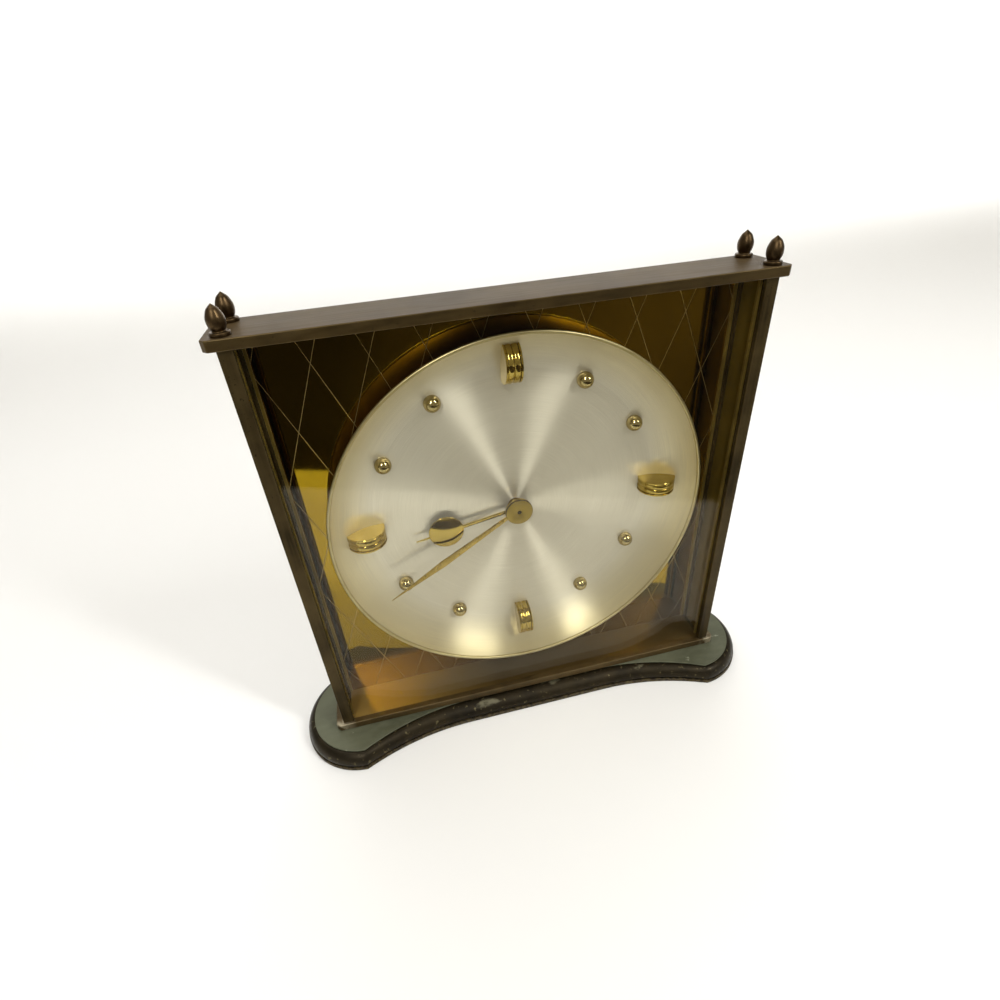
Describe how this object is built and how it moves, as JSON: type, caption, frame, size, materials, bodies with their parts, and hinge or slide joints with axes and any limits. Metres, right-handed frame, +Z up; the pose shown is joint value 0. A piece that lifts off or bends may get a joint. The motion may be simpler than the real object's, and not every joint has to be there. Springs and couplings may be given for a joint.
{
  "type": "mantel clock",
  "caption": "glazed brass mantel clock with a dished brushed dial, ball and roller hour marks, acorn finials, a waisted base and a wound balance-wheel movement",
  "frame": {"origin": "middle of the base's flat underside, on the surface the clock stands on", "axes": "+X to the right as the dial is read, +Y from the dial to the back, +Z up"},
  "size_m": [0.2158, 0.0851, 0.1952],
  "materials": {
    "case_brass": "aged satin brass with a brown patina",
    "polished_brass": "polished and lacquered brass",
    "mirror_brass": "mirror-polished amber brass with scribed lattice lines",
    "bronzed_base": "dark bronzed casting, worn bright at the foot",
    "panel_enamel": "grey-green satin enamel",
    "dial_silver": "spun metal with circular brushing, silver lacquer",
    "clear_glass": "clear plate glass",
    "works_brass": "milled brass",
    "works_steel": "ground steel",
    "spring_steel": "blued spring steel",
    "zinc_steel": "zinc-plated sheet steel"
  },
  "bodies": {
    "case": {"top_plate": "case_brass", "bottom_plate": "case_brass", "side_panel_left": "case_brass", "side_panel_right": "case_brass", "glass_beads": "case_brass", "back_beads": "case_brass", "post_front_left": "case_brass", "post_front_right": "case_brass", "post_rear_left": "case_brass", "post_rear_right": "case_brass", "finial_front_left": "case_brass", "finial_front_right": "case_brass", "finial_rear_left": "case_brass", "finial_rear_right": "case_brass", "hour_balls": "polished_brass", "hour_rollers": "polished_brass", "back_plate": "mirror_brass", "base_plate": "bronzed_base", "base_panel": "panel_enamel", "dial": "dial_silver", "front_glass": "clear_glass", "front_work_plate": "works_brass", "rear_work_plate": "works_brass", "work_feet": "works_brass", "work_pillars": "works_brass", "escapement_platform": "works_brass", "balance_cock": "works_brass", "base_screws": "works_steel", "carrier_screws": "works_steel", "drum_screws": "works_steel", "pillar_screws": "works_steel", "balance_spring": "spring_steel", "dial_carrier": "zinc_steel", "work_drum": "zinc_steel", "rear_cover": "zinc_steel"},
    "minute_train": {"minute_hand": "polished_brass", "hand_nut": "polished_brass", "cannon_pinion": "works_steel", "centre_arbor": "works_steel", "centre_wheel": "works_brass"},
    "hour_train": {"hour_hand": "polished_brass", "hour_wheel": "works_brass"},
    "minute_wheel_body": {"minute_wheel": "works_brass"},
    "barrel_body": {"barrel": "works_brass", "barrel_cover": "works_brass", "mainspring": "spring_steel"},
    "third_body": {"third_wheel": "works_brass"},
    "setting": {"set_arbor": "works_steel", "set_knob": "polished_brass"},
    "winding": {"barrel_arbor": "works_steel", "ratchet_wheel": "works_steel", "winding_key": "polished_brass"},
    "click_body": {"click": "works_steel"},
    "balance": {"balance_wheel": "works_brass"},
    "regulator": {"regulator_lever": "works_brass"}
  },
  "joints": [
    {"name": "minute_hand_turn", "type": "hinge", "parent": "case", "child": "minute_train", "pos_m": [0, 0.01705, 0.0987], "axis": [0, 1, 0], "continuous": true},
    {"name": "hour_hand_turn", "type": "hinge", "parent": "case", "child": "hour_train", "pos_m": [0, 0.0123, 0.0987], "axis": [0, 1, 0], "continuous": true},
    {"name": "minute_wheel_turn", "type": "hinge", "parent": "case", "child": "minute_wheel_body", "pos_m": [0.00625, 0.0148, 0.10953], "axis": [0, 1, 0], "continuous": true},
    {"name": "barrel_turn", "type": "hinge", "parent": "case", "child": "barrel_body", "pos_m": [-0.0135, 0.0228, 0.08871], "axis": [0, 1, 0], "continuous": true},
    {"name": "third_wheel_turn", "type": "hinge", "parent": "case", "child": "third_body", "pos_m": [0.00962, 0.0248, 0.08908], "axis": [0, 1, 0], "continuous": true},
    {"name": "set_knob_turn", "type": "hinge", "parent": "case", "child": "setting", "pos_m": [-0.00458, 0.03255, 0.11578], "axis": [0, 1, 0], "continuous": true},
    {"name": "winding_turn", "type": "hinge", "parent": "case", "child": "winding", "pos_m": [-0.0135, 0.03255, 0.08871], "axis": [0, -1, 0], "range_deg": [0, 1800]},
    {"name": "click_lift", "type": "hinge", "parent": "case", "child": "click_body", "pos_m": [-0.02658, 0.03, 0.09246], "axis": [0, 1, 0], "range_deg": [0, 10], "stiffness_Nm_per_rad": 0.002},
    {"name": "balance_swing", "type": "hinge", "parent": "case", "child": "balance", "pos_m": [0.0115, 0.037, 0.1117], "axis": [0, 1, 0], "range_deg": [-130, 130], "stiffness_Nm_per_rad": 0.00001},
    {"name": "regulator_set", "type": "hinge", "parent": "case", "child": "regulator", "pos_m": [0.0115, 0.03965, 0.1117], "axis": [0, 1, 0], "range_deg": [-25, 25]}
  ],
  "couplings": [
    {"joint": "hour_hand_turn", "follows": "minute_hand_turn", "ratio": 0.083333},
    {"joint": "minute_wheel_turn", "follows": "minute_hand_turn", "ratio": -0.33333},
    {"joint": "barrel_turn", "follows": "minute_hand_turn", "ratio": -0.16667},
    {"joint": "third_wheel_turn", "follows": "minute_hand_turn", "ratio": -7.5},
    {"joint": "set_knob_turn", "follows": "minute_hand_turn", "ratio": 1}
  ]
}
